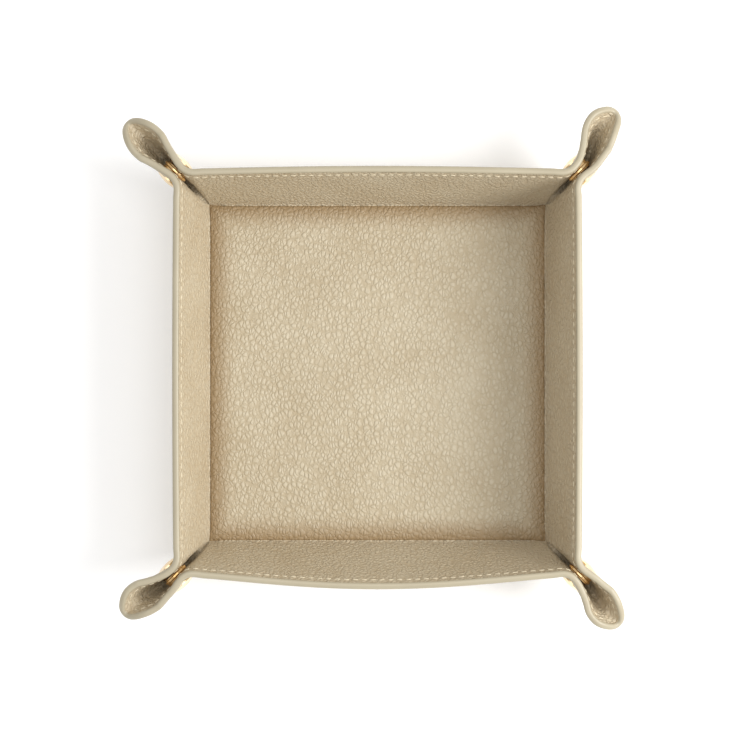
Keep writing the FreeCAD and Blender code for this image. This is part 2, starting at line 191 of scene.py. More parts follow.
def bulge(x, y, bow):
    """How far the wall bows out, x from its middle."""
    middle = min(1.0, abs(x) / (HALF + BOW_PAST))
    return bow * max(0.0, y) / SLOPE * (1.0 - middle ** 2) ** BOW_POWER


print("a crease lifts by", round(crease(0.0, HALF)[1], 5), "at its middle")

# %% [markdown]
# A turn made all at once would leave a kink in the rim. Here it is spread over an angle before and after
# the neck, and over a wider one low down, where the leather has to make a soft valley.

# %% Folding at the neck
BEND = math.radians(16.5)  # the turn goes on this far past the neck
BEFORE = 0.5  # and begins this share of it before the neck
LOW_BEND = math.radians(22.0)  # added low down
LOW_NECK = (0.008, 0.030)  # where the addition dies away: from, over
TINY = 1e-9


def ray_angle(x, y):
    return math.atan2(x, max(y, TINY))


def fold_at_neck(x, y, bow):
    """Turn a point of the pattern about the neck, and say which share of the turn it made."""
    out, up = crease(y, -x)
    out += bulge(x + HALF, y, bow)
    bend = BEND + LOW_BEND * (1.0 - ramp(math.hypot(x, y), *LOW_NECK))
    past = ray_angle(x, y) - NECK_ANGLE
    turn = ease((past + BEFORE * bend) / ((1.0 + BEFORE) * bend)) if y > 0.0 else 0.0
    return Matrix.Rotation(DIHEDRAL * turn, 3, NECK) @ Vector((x, out, up)), turn


print("share of the turn made at the cut:", round(fold_at_neck(*side_pattern(1.0, 1.0), 0.0)[1], 3))

# %% [markdown]
# The side of a spout isn't quite flat. Past the snap it flares, so that the spout ends in a spoon. Between
# the base corner and the snap it leaves a channel. Small pleats spread from the snap over the flare, as in
# leather that was pulled together. Each is a small addition to the distance from the diagonal.

# %% The side of a spout
FLARE = 0.0043
FLARE_REACH = 0.013  # the flare is whole this far from the fold
FLARE_ALONG = (0.021, 0.019)  # where it rises along the diagonal: from, over
FLARE_TURN = (0.75, 0.25)  # and which share of the turn it waits for: from, over
CHANNEL = 0.0023  # half its width
CHANNEL_FROM = 0.006  # it opens over this radius
CHANNEL_TO = (0.007, 0.008)  # and closes along the diagonal: from, over
PLEAT = 0.00022
PLEATS = 44.0  # in a whole turn about the snap
PLEAT_AT_FOLD = 0.004  # they die away over this distance at the fold
PLEAT_AT_RIM = (0.002, 0.006)  # and below the rim: from, over


def stand_off(off, along, up, turn, radius, to_fold, to_rim):
    """How far the side stands off the diagonal, with flare, channel and pleats."""
    lean_out = ramp(along, *FLARE_ALONG) * ramp(turn, *FLARE_TURN)
    off += FLARE * lean_out * min(1.0, to_fold / FLARE_REACH)
    is_open = ease(radius / CHANNEL_FROM) * (1.0 - ramp(along, *CHANNEL_TO))
    off = math.hypot(off, turn * CHANNEL * is_open)
    around = math.atan2(up - SNAP_RISE, along - SNAP_OUT)
    fade = ease(to_fold / PLEAT_AT_FOLD) * ramp(to_rim, *PLEAT_AT_RIM)
    return off + PLEAT * lean_out * math.sin(PLEATS * around) * fade


print("flare", FLARE, "channel", 2.0 * CHANNEL, "pleats", PLEATS)

# %% [markdown]
# Two sides that meet at the fold would make a knife edge. An ellipse rounds it: near the fold the side
# closes in, faster and faster. The lining has more to do there than the outer leather. It bunches up in the
# channel, and it lies high in the spoon, so it is lifted a little by itself.

# %% The fold
ROLL_SHARE = 2.4  # length of the round, for each unit that the side stands off
FOLD_ANGLE = 0.3  # rays below this, in radians, never reach the fold
TUCK = 0.0062  # lift of the bunched lining
TUCK_FROM = 0.005  # it rises over this length of the diagonal
TUCK_TO = (0.004, 0.011)  # and dies away: from, over
BOWL = 0.0036  # lift of the lining in the spoon
BOWL_FROM = (0.030, 0.012)  # where it rises along the diagonal: from, over
BOWL_AT_RIM = (0.002, 0.010)  # and where it dies away below the rim


def round_fold(off, along, angle, to_fold, to_rim):
    """Close the side towards the fold, and say how far the lining lifts there."""
    roll = off * ROLL_SHARE
    if angle <= FOLD_ANGLE or to_fold >= roll:
        return off, 0.0
    near = (1.0 - to_fold / roll) ** 2
    tuck = TUCK * near * (2.0 - near) * ease(along / TUCK_FROM) * (1.0 - ramp(along, *TUCK_TO))
    bowl = BOWL * near * ramp(along, *BOWL_FROM) * ramp(to_rim, *BOWL_AT_RIM)
    return off * math.sqrt(max(0.0, 1.0 - near)), tuck + bowl


print("length of the round at the snap:", round(SNAP_GAP * ROLL_SHARE, 4))

# %% [markdown]
# No two spouts of a real tray hang alike. Three of these lean to one side, and two are pulled in a little.
# The steps above and this last one make the whole fold.

# %% The whole fold
SWAY = (0.0070, 0.0, -0.0036, -0.0030)  # sideways at the tip, corner by corner
SWAY_ALONG = (0.019, 0.022)  # where it rises along the diagonal: from, over
GATHER = (0.0, 0.0, 0.0016, 0.0020)  # inwards at the tip
GATHER_ALONG = (0.024, 0.022)


def pattern_to_corner(x, y, bow, sway, gather, fill):
    """Fold one point of the pattern; the answer is along the diagonal, off it, and up."""
    mirrored = x > y > 0.0
    if mirrored:
        x, y = y, x
    radius = math.hypot(x, y)
    angle = ray_angle(x, y)
    to_fold = radius * math.sin(DIAGONAL - angle)
    to_rim = rim_radius(min(angle, DIAGONAL)) - radius
    point, turn = fold_at_neck(x, y, bow)
    along = (point.x + point.y) / math.sqrt(2.0)
    off = (point.y - point.x) / math.sqrt(2.0)
    off = stand_off(off, along, point.z, turn, radius, to_fold, to_rim)
    off, lift = round_fold(off, along, angle, to_fold, to_rim)
    if mirrored:
        off = -off
    off += sway * ramp(along, *SWAY_ALONG)
    along -= gather * ramp(along, *GATHER_ALONG)
    return Vector((along, off, point.z + fill * lift))


far_end = pattern_to_corner(*tip_pattern(1.0, 1.0), bow=0.0, sway=0.0, gather=0.0, fill=1.0)
print("tip of an even spout:", [round(part, 4) for part in far_end])

# %% [markdown]
# A skirt is half a wall with its side of a spout. The tray has eight, all from the same pattern: the hand
# says on which side of the diagonal a skirt lies, and the corner says how many quarter turns it is away
# from the model. Mirrored and turned objects would do it too, but the finished pieces have to sit at the
# origin, so the points themselves are moved.

# %% From the model corner to the tray
def quarter_turn(quarter):
    return Matrix.Rotation(math.radians(90.0 * quarter), 3, "Z")


def corner_to_world(place, corner, hand):
    """Put a folded point on its own corner and its own side of the diagonal."""
    x = (place.x - place.y) / math.sqrt(2.0)
    y = (place.x + place.y) / math.sqrt(2.0)
    if hand < 0:
        x, y = y, x
    return quarter_turn(corner) @ (ROOT + Vector((x, y, place.z)))


print("tip of the back right corner:", [round(part, 4) for part in corner_to_world(far_end, 0, 1)])

# %% [markdown]
# A skirt knows its wall and its corner, and gives the two surfaces of its leather. The outer one lies one
# thickness outside the lining, along the normal of the folded sheet. The normal comes from four points close
# by, because the fold is made of too many steps to have a simple slope.

# %% Skirts
NORMAL_STEP = 0.00025  # how far away those points are on the pattern


class Skirt:
    """Half a wall and one side of a spout, as a folded pattern."""

    def __init__(self, corner, hand):
        self.corner = corner
        self.hand = hand
        self.wall = WALLS[corner] if hand > 0 else WALLS[corner - 1]
        self.other = WALLS[corner - 1] if hand > 0 else WALLS[corner]
        self.name = self.wall + "_at_" + self.other

    def lining(self, x, y, fill=1.0):
        sway = SWAY[self.corner] * self.hand
        place = pattern_to_corner(x, y, BOW[self.wall], sway, GATHER[self.corner], fill)
        return corner_to_world(place, self.corner, self.hand)

    def out(self, x, y):
        along = self.lining(x + NORMAL_STEP, y, 0.0) - self.lining(x - NORMAL_STEP, y, 0.0)
        up = self.lining(x, y + NORMAL_STEP, 0.0) - self.lining(x, y - NORMAL_STEP, 0.0)
        return along.cross(up).normalized() * -self.hand

    def outside(self, x, y):
        return self.lining(x, y, 0.0) + self.out(x, y) * THICK

    def from_corner(self, point):
        """A point given from the base corner of the model, put on this skirt."""
        along = (point.x + point.y) / math.sqrt(2.0)
        off = (point.y - point.x) / math.sqrt(2.0)
        return corner_to_world(Vector((along, off, point.z)), self.corner, self.hand)


SKIRTS = [Skirt(corner, hand) for corner in range(len(CORNERS)) for hand in (1, -1)]
print("skirts:", [skirt.name for skirt in SKIRTS])

# %% [markdown]
# ## Materials
#
# Node graphs get long when each link is written out, so a small class wraps a socket and lets the maths be
# written as maths. Every other node comes from one method of the paint that owns it.

# %% Sockets with arithmetic
class Socket:
    def __init__(self, paint, socket):
        self.paint = paint
        self.socket = socket

    def __add__(self, other):
        return self.paint.maths("ADD", self, other)

    __radd__ = __add__

    def __sub__(self, other):
        return self.paint.maths("SUBTRACT", self, other)

    def __rsub__(self, other):
        return self.paint.maths("SUBTRACT", other, self)

    def __mul__(self, other):
        return self.paint.maths("MULTIPLY", self, other)

    __rmul__ = __mul__

    def between(self, low, high):
        """0 up to the low value, 1 from the high one, smooth between."""
        inputs = {"Value": self, "From Min": low, "From Max": high}
        return self.paint.node("ShaderNodeMapRange", inputs, interpolation_type="SMOOTHSTEP")


print("a socket adds, takes away and multiplies")

# %% [markdown]
# A paint is one material while it is being made. It holds the node tree, gives the point where the surface
# is, and at the end sets the values of the shader.

# %% Paint
class Paint:
    def __init__(self, name):
        self.material = bpy.data.materials.new(name)
        self.material.use_nodes = True
        self.tree = self.material.node_tree
        self.shader = self.tree.nodes["Principled BSDF"]
        self.where = self.node("ShaderNodeTexCoord", output="Object")

    def fill(self, socket, value):
        if isinstance(value, Socket):
            self.tree.links.new(value.socket, socket)
        else:
            socket.default_value = value

    def node(self, kind, inputs=None, output=0, **settings):
        made = self.tree.nodes.new(kind)
        for key, value in settings.items():
            setattr(made, key, value)
        for key, value in (inputs or {}).items():
            self.fill(made.inputs[key], value)
        return Socket(self, made.outputs[output])

    def maths(self, operation, first, second):
        return self.node("ShaderNodeMath", {0: first, 1: second}, operation=operation)

    def noise(self, scale, detail, output="Fac"):
        inputs = {"Vector": self.where, "Scale": scale, "Detail": detail}
        return self.node("ShaderNodeTexNoise", inputs, output)

    def bump(self, height, strength, distance):
        return self.node("ShaderNodeBump", {"Height": height, "Strength": strength, "Distance": distance})

    def blend(self, share, first, second):
        inputs = {"Factor": share, 6: first, 7: second}
        return self.node("ShaderNodeMix", inputs, output=2, data_type="RGBA")

    def set(self, **inputs):
        for key, value in inputs.items():
            self.fill(self.shader.inputs[key.replace("_", " ")], value)
        return self.material


print("materials before the first paint:", len(bpy.data.materials))

# %% [markdown]
# Colours are easiest to judge as a screen shows them, but the shader works with linear light, so each one is
# made linear first.

# %% Colours
def colour(red, green, blue):
    """A colour as the eye names it, 0 to 255, made linear."""
    parts = [part / 255.0 for part in (red, green, blue)]
    return tuple(p / 12.92 if p <= 0.04045 else ((p + 0.055) / 1.055) ** 2.4 for p in parts) + (1.0,)


print("mid grey is", [round(part, 3) for part in colour(128, 128, 128)])

# %% [markdown]
# Pebbled leather is a field of small domes with grooves between. A photograph of leather would show its
# repeats, so the pebbles are a Voronoi pattern: its soft distance to the cell's centre gives the domes, and
# its distance to the cell's edge gives the grooves. A little noise on the coordinates keeps the cells from
# looking like tiles, and a slanted stretch makes them longer one way.

# %% Pebbles
DRIFT = 1.5  # how far noise moves the pattern, in cells
DRIFT_MIDDLE = (0.5, 0.5, 0.5)  # of the noise, so that the pattern as a whole stays in place
SLANT = (0.0, 0.0, math.radians(40.0))
STRETCH = (1.0, 0.68, 1.0)
DOME_SOFT = 0.35  # how far neighbouring domes run together
GROOVE_WIDE = 0.28  # in cells


def pebbles(paint, cell):
    """The domes and the grooves of a leather whose pebbles are about a cell wide."""
    drift = paint.noise(scale=260.0, detail=2.0, output="Color")
    shift = paint.node("ShaderNodeVectorMath", {0: drift, 1: DRIFT_MIDDLE}, operation="SUBTRACT")
    shift = paint.node("ShaderNodeVectorMath", {0: shift, "Scale": cell * DRIFT}, operation="SCALE")
    place = paint.node("ShaderNodeVectorMath", {0: paint.where, 1: shift}, operation="ADD")
    place = paint.node("ShaderNodeMapping", {"Vector": place, "Rotation": SLANT, "Scale": STRETCH})
    cells = {"Vector": place, "Scale": 1.0 / cell, "Randomness": 1.0}
    soft = {**cells, "Smoothness": DOME_SOFT}
    dome = paint.node("ShaderNodeTexVoronoi", soft, feature="SMOOTH_F1")
    groove = paint.node("ShaderNodeTexVoronoi", cells, feature="DISTANCE_TO_EDGE")
    return (1.0 - dome).between(0.1, 0.9), groove.between(0.0, GROOVE_WIDE)


print("pebbles are", round(1.0 / STRETCH[1], 2), "times as long as they are wide")

# %% [markdown]
# Domes, grooves and pores share the height of the grain. Its tone follows the domes a little, and a slow
# noise more, because a hide is never dyed evenly. The base is painted browner towards its creases, as
# painted shade where its crown slopes down into the fold: the larger of the two distances from the middle
# tells how near an edge is.

# %% Leather
HEIGHTS = (0.35, 0.35, 0.18)  # of domes, grooves and pores, as shares of the grain
TONES = (0.15, 0.09, 0.4)  # what domes, grooves and clouds add to the tone
TONE_FULL = 0.63  # where their sum is wholly light
GRAIN = 0.0008
# painted shade: the base is painted browner towards its creases, where its crown slopes down into the fold
CREASE_SHADE_FROM = HALF - 0.012  # the base turns brown from here
CREASE_SHADE_TO = HALF + 0.002
CREASE_SHADE_UNEVEN = 0.003
CREASE_SHADE_SHARE = 0.9


def crease_painted_shade(paint, clouds):
    """Painted shade along the creases: 1 at the edges of the base, 0 further in."""
    across = paint.node("ShaderNodeSeparateXYZ", {0: paint.where}, "X")
    along = paint.node("ShaderNodeSeparateXYZ", {0: paint.where}, "Y")
    across = paint.node("ShaderNodeMath", {0: across}, operation="ABSOLUTE")
    along = paint.node("ShaderNodeMath", {0: along}, operation="ABSOLUTE")
    return (paint.maths("MAXIMUM", across, along) + clouds * CREASE_SHADE_UNEVEN).between(CREASE_SHADE_FROM, CREASE_SHADE_TO)


def leather(name, light, dark, cell, depth, roughness, shade_brown=None):
    paint = Paint(name)
    dome, groove = pebbles(paint, cell)
    pores = paint.noise(scale=2600.0, detail=3.0)
    clouds = paint.noise(scale=38.0, detail=4.0)
    height = dome * HEIGHTS[0] + groove * HEIGHTS[1] + pores * HEIGHTS[2]
    lightness = dome * TONES[0] + groove * TONES[1] + clouds * TONES[2]
    tone = paint.blend(lightness.between(0.0, TONE_FULL), dark, light)
    # painted shade: the base's tone turns browner along its creases
    if shade_brown:
        tone = paint.blend(crease_painted_shade(paint, clouds) * CREASE_SHADE_SHARE, tone, shade_brown)
    gloss = pores * 0.14 + (roughness - 0.07) - dome * 0.05
    return paint.set(Base_Color=tone, Roughness=gloss, Normal=paint.bump(height, depth, GRAIN))


# the base leather carries the painted shade along its creases
BASE_LEATHER = leather(
    "base_leather", colour(188, 177, 153), colour(164, 148, 119),
    cell=0.0017, depth=0.64, roughness=0.50, shade_brown=colour(142, 117, 82),
)
WALL_LEATHER = leather(
    "wall_leather", colour(203, 191, 166), colour(180, 162, 132), cell=0.0017, depth=0.85, roughness=0.52,
)
print("leathers:", BASE_LEATHER.name, WALL_LEATHER.name)

# %% [markdown]
# The cut edge is painted and rubbed smooth, so it has almost no grain. The thread is cotton, rough and a
# little uneven. Neither needs a pattern of its own, only noise of the right size.

# %% Edge paint and thread
def edge_paint():
    paint = Paint("edge_paint")
    fine = paint.noise(scale=900.0, detail=3.0)
    clouds = paint.noise(scale=60.0, detail=2.0)
    tone = paint.blend(clouds, colour(163, 153, 130), colour(174, 164, 140))
    normal = paint.bump(fine, strength=0.12, distance=0.0003)
    return paint.set(Base_Color=tone, Roughness=fine * 0.2 + 0.32, Normal=normal)


def thread():
    paint = Paint("thread")
    fibre = paint.noise(scale=3200.0, detail=2.0)
    tone = paint.blend(fibre, colour(190, 176, 146), colour(226, 216, 192))
    normal = paint.bump(fibre, strength=0.4, distance=0.0002)
    return paint.set(Base_Color=tone, Roughness=fibre * 0.2 + 0.6, Normal=normal)


EDGE = edge_paint()
THREAD = thread()
print("edge and thread:", EDGE.name, THREAD.name)

# %% [markdown]
# The snap is plated. Its ring is a warm gold. The caps and posts are painted paler, a painted highlight,
# because they face the light. The stud is painted dark brass, a painted shadow of the narrow gap beside the
# ring. The spring is bare steel. One function makes them all, with a trace of unevenness, because a
# perfectly even metal looks like plastic. The board and the foam are hidden, and plain matt noise does for
# them.

# %% Metals and hidden materials
def metal(name, bright, dull, rough):
    paint = Paint(name)
    fine = paint.noise(scale=1800.0, detail=3.0)
    tarnish = paint.noise(scale=220.0, detail=2.0).between(0.3, 0.7)
    tone = paint.blend(tarnish, dull, bright)
    normal = paint.bump(fine, strength=0.05, distance=0.0002)
    return paint.set(Base_Color=tone, Metallic=1.0, Roughness=fine * 0.12 + rough, Normal=normal)


def matt(name, light, dark, scale, rough):
    paint = Paint(name)
    grain = paint.noise(scale, detail=5.0)
    normal = paint.bump(grain, strength=0.3, distance=0.0003)
    return paint.set(Base_Color=paint.blend(grain, dark, light), Roughness=grain * 0.2 + rough, Normal=normal)


GOLD = metal("snap_gold", colour(244, 212, 160), colour(218, 172, 110), rough=0.15)
# painted highlight: a paler gold for metal that faces the lamp
LIT_GOLD = metal("cap_gold", colour(250, 230, 196), colour(240, 212, 166), rough=0.20)
# painted shade: a dark brass for the stud, in the shadow of the gap beside the ring
STUD_PAINTED_SHADE = metal("snap_painted_shade", colour(150, 112, 66), colour(120, 86, 48), rough=0.36)
STEEL = metal("spring_steel", colour(200, 202, 206), colour(170, 172, 176), rough=0.28)
BOARD = matt("fibre_board", colour(168, 140, 104), colour(128, 102, 72), scale=700.0, rough=0.75)
FOAM = matt("foam", colour(224, 218, 204), colour(196, 188, 170), scale=1500.0, rough=0.85)
print("materials:", [material.name for material in bpy.data.materials])

# %% [markdown]
# ## Making a thick sheet
#
# Leather is cut from a hide, so each piece begins as a grid. It is extruded once, which gives it a lining
# side and an outer side, and then the points of each side are laid on their own surface. A Solidify
# modifier would be shorter, but here the lining lifts off the outer leather at the folds. The edges along
# the rim are bevelled afterwards and take the smooth edge paint.

# %% Objects from meshes
SHARP = math.radians(42.0)  # edges that turn more than this are shaded as edges


def to_object(bm, name, *materials):
    bmesh.ops.recalc_face_normals(bm, faces=bm.faces[:])
    for face in bm.faces:
        face.smooth = True
    mesh = bpy.data.meshes.new(name)
    bm.to_mesh(mesh)
    bm.free()
    mesh.set_sharp_from_angle(angle=SHARP)
    for material in materials:
        mesh.materials.append(material)
    made = bpy.data.objects.new(name, mesh)
    bpy.context.scene.collection.objects.link(made)
    print(name, len(mesh.polygons), "faces")
    return made


print("edges stay sharp from", round(math.degrees(SHARP)), "degrees")

# %% [markdown]
# The rim is the face between the two sides. Its two long edges get a round bevel, and the round and the
# face take the second material of the sheet. A bevel modifier would round the other edges as well, and
# those lie against the next piece.

# %% Painted rims
RIM_BEVEL = 0.0012
RIM_STEPS = 4


def paint_rim(bm, on_rim, far_side):
    bmesh.ops.recalc_face_normals(bm, faces=bm.faces[:])
    for face in bm.faces:
        if all(vert in on_rim for vert in face.verts):
            face.material_index = 1
    edges = [
        edge for edge in bm.edges
        if all(vert in on_rim for vert in edge.verts)
        and (edge.verts[0] in far_side) == (edge.verts[1] in far_side)
    ]
    made = bmesh.ops.bevel(
        bm, geom=edges, offset=RIM_BEVEL, offset_type="OFFSET", segments=RIM_STEPS, profile=0.5,
        affect="EDGES", material=-1,
    )
    for face in made["faces"]:
        face.material_index = 1


print("rims are rounded by", RIM_BEVEL)

# %% [markdown]
# In the grid both coordinates run from -1 to 1. The rim is its far side, where y is 1. A sheet can change
# to its second material part of the way up, which the strips along the creases need.

# %% Thick sheets
NEARLY_ONE = 0.9999


def thick_sheet(name, grid, inner, outer, materials, rim=False, second_from=None):
    bm = bmesh.new()
    bmesh.ops.create_grid(bm, x_segments=grid[0], y_segments=grid[1], size=1.0)
    copied = bmesh.ops.extrude_face_region(bm, geom=bm.faces[:], use_keep_orig=True)
    far_side = {item for item in copied["geom"] if isinstance(item, bmesh.types.BMVert)}
    on_rim = {vert for vert in bm.verts if vert.co.y > NEARLY_ONE}
    for face in bm.faces:
        if second_from is not None and 0.5 + 0.5 * face.calc_center_median().y > second_from:
            face.material_index = 1
    for vert in bm.verts:
        s = 0.5 + 0.5 * vert.co.x
        t = 0.5 + 0.5 * vert.co.y
        vert.co = outer(s, t) if vert in far_side else inner(s, t)
    if rim:
        paint_rim(bm, on_rim, far_side)
    return to_object(bm, name, *materials)


print("a sheet has a lining side and an outer side,", THICK, "apart")

# %% [markdown]
# ## The base
#
# The base is a flat pad whose lining swells over the foam. A cloth simulation with pressure could swell it,
# but the leather is glued down at the creases and hardly stretches, so a quarter ellipse along each edge
# gives the same crown. The piece ends a little inside the creases, where the strips begin.

# %% The base
CROWN = 0.0022  # height of the crown
PILLOW = 0.0085  # it is whole this far from a crease
SHOULDER = 0.006  # the strips begin this far inside the creases
BASE_GRID = (120, 120)


def round_up(distance):
    """A pillow's edge: steep at the crease, level further in."""
    left = 1.0 - min(1.0, max(0.0, distance / PILLOW))
    return math.sqrt(max(0.0, 1.0 - left ** 2))


def swell(x, y):
    return CROWN * round_up(HALF - abs(x)) * round_up(HALF - abs(y))


def base_top(s, t):
    reach = HALF - SHOULDER
    x = reach * (2.0 * s - 1.0)
    y = reach * (2.0 * t - 1.0)
    return Vector((x, y, THICK + swell(x, y)))


def base_bottom(s, t):
    top = base_top(s, t)
    return Vector((top.x, top.y, 0.0))


base = thick_sheet("tray_base", BASE_GRID, base_top, base_bottom, [BASE_LEATHER])
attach(base, "base")
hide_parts("base_outer", "base_lining")

# %% [markdown]
# ## The creases
#
# Along each crease the leather runs on from the base into the wall. As one piece with either of them it
# would tear when the wall falls, so it is a strip of its own that follows the base on one side and the wall
# on the other. It takes the base's colour up to the fold and the wall's colour above it.

# %% The section of a strip
NEXT_TO = 0.0001  # points this far away give the slope of the section


class CreaseStrip:
    """The leather across one crease, from the base to the foot of the wall."""

    def __init__(self, quarter):
        self.turn = quarter_turn(quarter)
        self.bow = BOW[WALLS[quarter]]

    def along(self, s, t):
        """Where a point of the grid is: its share of the half length, and y across the crease."""
        side = 2.0 * s - 1.0
        if t < 0.5:
            return side, -SHOULDER * (1.0 - 2.0 * t)
        return side, foot(HALF * (abs(side) - 1.0)) * (2.0 * t - 1.0)

    def lining(self, side, y):
        out, up = crease(y, HALF * (1.0 - abs(side)))
        x = side * (HALF + min(0.0, out))
        return Vector((x, HALF + out + bulge(side * HALF, y, self.bow), THICK + up))

    def top(self, s, t):
        side, y = self.along(s, t)
        place = self.lining(side, y)
        if y < 0.0:
            place.z += swell(place.x, HALF + y)
        return self.turn @ place

    def bottom(self, s, t):
        side, y = self.along(s, t)
        place = self.lining(side, y)
        to_corner = HALF * (1.0 - abs(side))
        ahead_out, ahead_up = crease(y + NEXT_TO, to_corner)
        behind_out, behind_up = crease(y - NEXT_TO, to_corner)
        normal = Vector((ahead_up - behind_up, behind_out - ahead_out)).normalized() * THICK
        place.y += normal.x
        place.z = max(0.0, place.z + normal.y)
        return self.turn @ place


print("middle of the back crease:", [round(part, 4) for part in CreaseStrip(0).top(0.5, 0.5)])

# %% [markdown]
# Each wall gets its strip, with the base's leather up to the middle of its grid and the wall's leather above
# it.

# %% The strips along the creases
CREASE_GRID = (160, 24)

for quarter, wall in enumerate(WALLS):
    strip = CreaseStrip(quarter)
    made = thick_sheet(
        "crease_" + wall, CREASE_GRID, strip.top, strip.bottom, [BASE_LEATHER, WALL_LEATHER], second_from=0.5
    )
    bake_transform(made)

# %% [markdown]
# ## The walls and the spouts
#
# Each skirt is two pieces. The side runs from the middle of the wall, round the neck, to the cut. The tip
# is the rest of the spout with its rounded fold, and hangs from the body of its spout. Opened, a real one
# springs flat.

# %% Baking a side, and hanging a tip from its spout
NECK_MIDDLE = 0.030  # the place on the neck where the bend is measured
NECK_BEFORE = 0.009  # the bend begins this far before the neck
NECK_AFTER = 0.007  # and ends this far past it


def bend_at_neck(piece, skirt):
    across = Vector((1.0 + math.sqrt(0.5), math.sqrt(0.5), 0.0)).normalized()
    start = skirt.from_corner(NECK * NECK_MIDDLE - across * NECK_BEFORE)
    end = skirt.from_corner(NECK * NECK_MIDDLE + across * NECK_AFTER)
    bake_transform(piece)


def flatten_at_fold(piece, skirt):
    axis = skirt.from_corner(SIDE_OUT) - skirt.from_corner(Vector())
    anchor = skirt.from_corner(NECK * NECK_MIDDLE + SIDE_OUT * (0.5 * THICK))
    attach(piece, "spout_" + skirt.name)
    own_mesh(piece)


# %% [markdown]
# One mesh could do for both, but each gets its own grid over the same pattern. They share the ray of the
# cut, where their edges lie on each other. The first skirt of each wall also stands for the wall's own
# solids.

# %% Sides and tips
SIDE_GRID = (110, 44)
TIP_GRID = (56, 44)


def cut_and_fold(name, grid, skirt, pattern):
    made = thick_sheet(
        name, grid,
        lambda s, t: skirt.lining(*pattern(s, t)),
        lambda s, t: skirt.outside(*pattern(s, t)),
        [WALL_LEATHER, EDGE], rim=True,
    )
    return made


for skirt in SKIRTS:
    side = cut_and_fold("skirt_" + skirt.name, SIDE_GRID, skirt, side_pattern)
    bend_at_neck(side, skirt)
    tip = cut_and_fold("tip_" + skirt.name, TIP_GRID, skirt, tip_pattern)
    flatten_at_fold(tip, skirt)
    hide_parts("spout_outer_" + skirt.name, "spout_lining_" + skirt.name)
    if skirt.hand > 0:
        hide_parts("wall_outer_" + skirt.wall, "wall_lining_" + skirt.wall)

# %% [markdown]
# ## Stitches
#
# One line of thread runs just inside the edge and holds the two leathers together. Painted dots would look
# flat from the side, so each stitch is a small capsule laid on the leather, once on the lining and once on
# the outside: a low sphere pulled long. It sinks a little, as thread does under tension.

# %% One stitch
STITCH_LONG = 0.0023
STITCH_RADIUS = 0.00030
STITCH_LOW = 0.8  # its height, as a share of its width
STITCH_FACES = (8, 6)  # around, along
ON_EQUATOR = 1e-7  # points nearer the middle than this aren't pulled


def stitch(bm, middle, along, out):
    side = out.cross(along).normalized()
    turn = Matrix((along, side, out)).transposed()
    ball = bmesh.ops.create_uvsphere(
        bm, u_segments=STITCH_FACES[0], v_segments=STITCH_FACES[1], radius=STITCH_RADIUS
    )
    pull = 0.5 * STITCH_LONG - STITCH_RADIUS
    for vert in ball["verts"]:
        local = Vector((vert.co.z, vert.co.x, vert.co.y * STITCH_LOW))
        local.x += math.copysign(pull, local.x) if abs(local.x) > ON_EQUATOR else 0.0
        vert.co = middle + turn @ local


print("one stitch is", STITCH_LONG, "long")

# %% [markdown]
# A curve with an Array modifier could lay the stitches out, but on the pattern the seam is simple: straight
# along the wall, then an arc that keeps its distance from the edge. The stitches are spread evenly over it
# and folded with the leather, and each takes the direction that the folded seam has there.

# %% Rows of stitches
STITCH_IN = 0.0041  # from the edge
STITCH_PITCH = 0.0038
STITCH_SPAN = 0.0008  # points this far away give its direction
SUNK_INSIDE = 0.00008
SUNK_OUTSIDE = 0.00012


def seam(distance):
    """A point of the pattern that far along the seam from the wall's middle."""
    centre = SLOPE - ROUND
    if distance < HALF + centre:
        return -HALF + distance, SLOPE - STITCH_IN
    radius = ROUND - STITCH_IN
    angle = (distance - HALF - centre) / radius
    return centre + radius * math.sin(angle), centre + radius * math.cos(angle)


def sew(skirt):
    total = HALF + SLOPE - ROUND + (ROUND - STITCH_IN) * DIAGONAL
    count = round(total / STITCH_PITCH)
    rows = {"side": bmesh.new(), "tip": bmesh.new()}
    for number in range(count):
        at = (number + 0.5) * total / count
        x, y = seam(at)
        along = skirt.lining(*seam(at + STITCH_SPAN)) - skirt.lining(*seam(at - STITCH_SPAN))
        out = skirt.out(x, y)
        bm = rows["tip" if ray_angle(x, y) > TIP_ANGLE else "side"]
        stitch(bm, skirt.lining(x, y) - out * SUNK_INSIDE, along.normalized(), -out)
        stitch(bm, skirt.outside(x, y) - out * SUNK_OUTSIDE, along.normalized(), out)
    return rows


for skirt in SKIRTS:
    rows = sew(skirt)
    row = to_object(rows["side"], "stitches_" + skirt.name, THREAD)
    bend_at_neck(row, skirt)
    row = to_object(rows["tip"], "tip_stitches_" + skirt.name, THREAD)
    flatten_at_fold(row, skirt)

# %% [markdown]
# ## Snap sockets and studs
#
# From above, the snap shows as one thin bright ring between the two leathers. The solids of socket and stud
# have sharp edges that catch no light, so both are turned again here: a section is spun about the snap's
# axis and its sharp edges are bevelled. In a section the first number is the radius and the second the
# place along the axis, from the middle of the gap.

